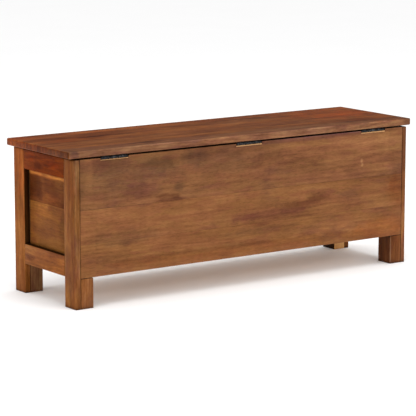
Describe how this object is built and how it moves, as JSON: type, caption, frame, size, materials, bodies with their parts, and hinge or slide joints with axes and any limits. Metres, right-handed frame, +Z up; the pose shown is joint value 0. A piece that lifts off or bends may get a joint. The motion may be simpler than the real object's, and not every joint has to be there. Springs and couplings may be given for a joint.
{
  "type": "storage bench",
  "caption": "Low hall storage bench in solid wood: a chest on square legs with a hinged lid that is the seat, frame-and-panel ends and front, and a plain rear panel.",
  "frame": {"origin": "on the floor, under the middle of the bench's overall box", "axes": "+X along the bench to the right as seen from its front, -Y the front, +Y the rear where the hinges are, +Z up"},
  "size_m": [1.1, 0.311, 0.4],
  "materials": {
    "frame_wood": "stained solid wood, satin lacquer",
    "panel_wood": "stained solid wood, satin lacquer",
    "lid_wood": "stained solid wood, satin lacquer",
    "inner_wood": "bare sawn wood, matt",
    "black_steel": "blackened steel, satin",
    "screw_steel": "blackened steel, satin",
    "rubber": "soft brown rubber, matt"
  },
  "bodies": {
    "chest": {"centre_hinge_lower_leaf": "black_steel", "centre_hinge_lower_screw_1": "screw_steel", "centre_hinge_lower_screw_2": "screw_steel", "centre_hinge_lower_screw_3": "screw_steel", "centre_hinge_pin": "screw_steel", "floor_board": "inner_wood", "front_bottom_rail": "frame_wood", "front_centre_panel": "panel_wood", "front_floor_cleat": "inner_wood", "front_left_leg_block": "frame_wood", "front_left_muntin": "frame_wood", "front_left_panel": "panel_wood", "front_right_leg_block": "frame_wood", "front_right_muntin": "frame_wood", "front_right_panel": "panel_wood", "front_top_rail": "frame_wood", "left_end_bottom_rail": "frame_wood", "left_end_front_stile": "frame_wood", "left_end_panel": "panel_wood", "left_end_rear_stile": "frame_wood", "left_end_top_rail": "frame_wood", "left_floor_cleat": "inner_wood", "left_hinge_lower_leaf": "black_steel", "left_hinge_lower_screw_1": "screw_steel", "left_hinge_lower_screw_2": "screw_steel", "left_hinge_lower_screw_3": "screw_steel", "left_hinge_pin": "screw_steel", "left_lid_bumper": "rubber", "rear_floor_cleat": "inner_wood", "rear_left_leg_block": "frame_wood", "rear_panel": "panel_wood", "rear_right_leg_block": "frame_wood", "right_end_bottom_rail": "frame_wood", "right_end_front_stile": "frame_wood", "right_end_panel": "panel_wood", "right_end_rear_stile": "frame_wood", "right_end_top_rail": "frame_wood", "right_floor_cleat": "inner_wood", "right_hinge_lower_leaf": "black_steel", "right_hinge_lower_screw_1": "screw_steel", "right_hinge_lower_screw_2": "screw_steel", "right_hinge_lower_screw_3": "screw_steel", "right_hinge_pin": "screw_steel", "right_lid_bumper": "rubber"},
    "lid": {"centre_hinge_upper_leaf": "black_steel", "centre_hinge_upper_screw_1": "screw_steel", "centre_hinge_upper_screw_2": "screw_steel", "centre_hinge_upper_screw_3": "screw_steel", "left_hinge_upper_leaf": "black_steel", "left_hinge_upper_screw_1": "screw_steel", "left_hinge_upper_screw_2": "screw_steel", "left_hinge_upper_screw_3": "screw_steel", "left_lid_batten": "inner_wood", "lid_board": "lid_wood", "middle_lid_batten": "inner_wood", "right_hinge_upper_leaf": "black_steel", "right_hinge_upper_screw_1": "screw_steel", "right_hinge_upper_screw_2": "screw_steel", "right_hinge_upper_screw_3": "screw_steel", "right_lid_batten": "inner_wood"}
  },
  "joints": [
    {"name": "lid_hinge", "type": "hinge", "parent": "chest", "child": "lid", "pos_m": [0, 0.1515, 0.37775], "axis": [-1, 0, 0], "range_deg": [0, 105]}
  ]
}
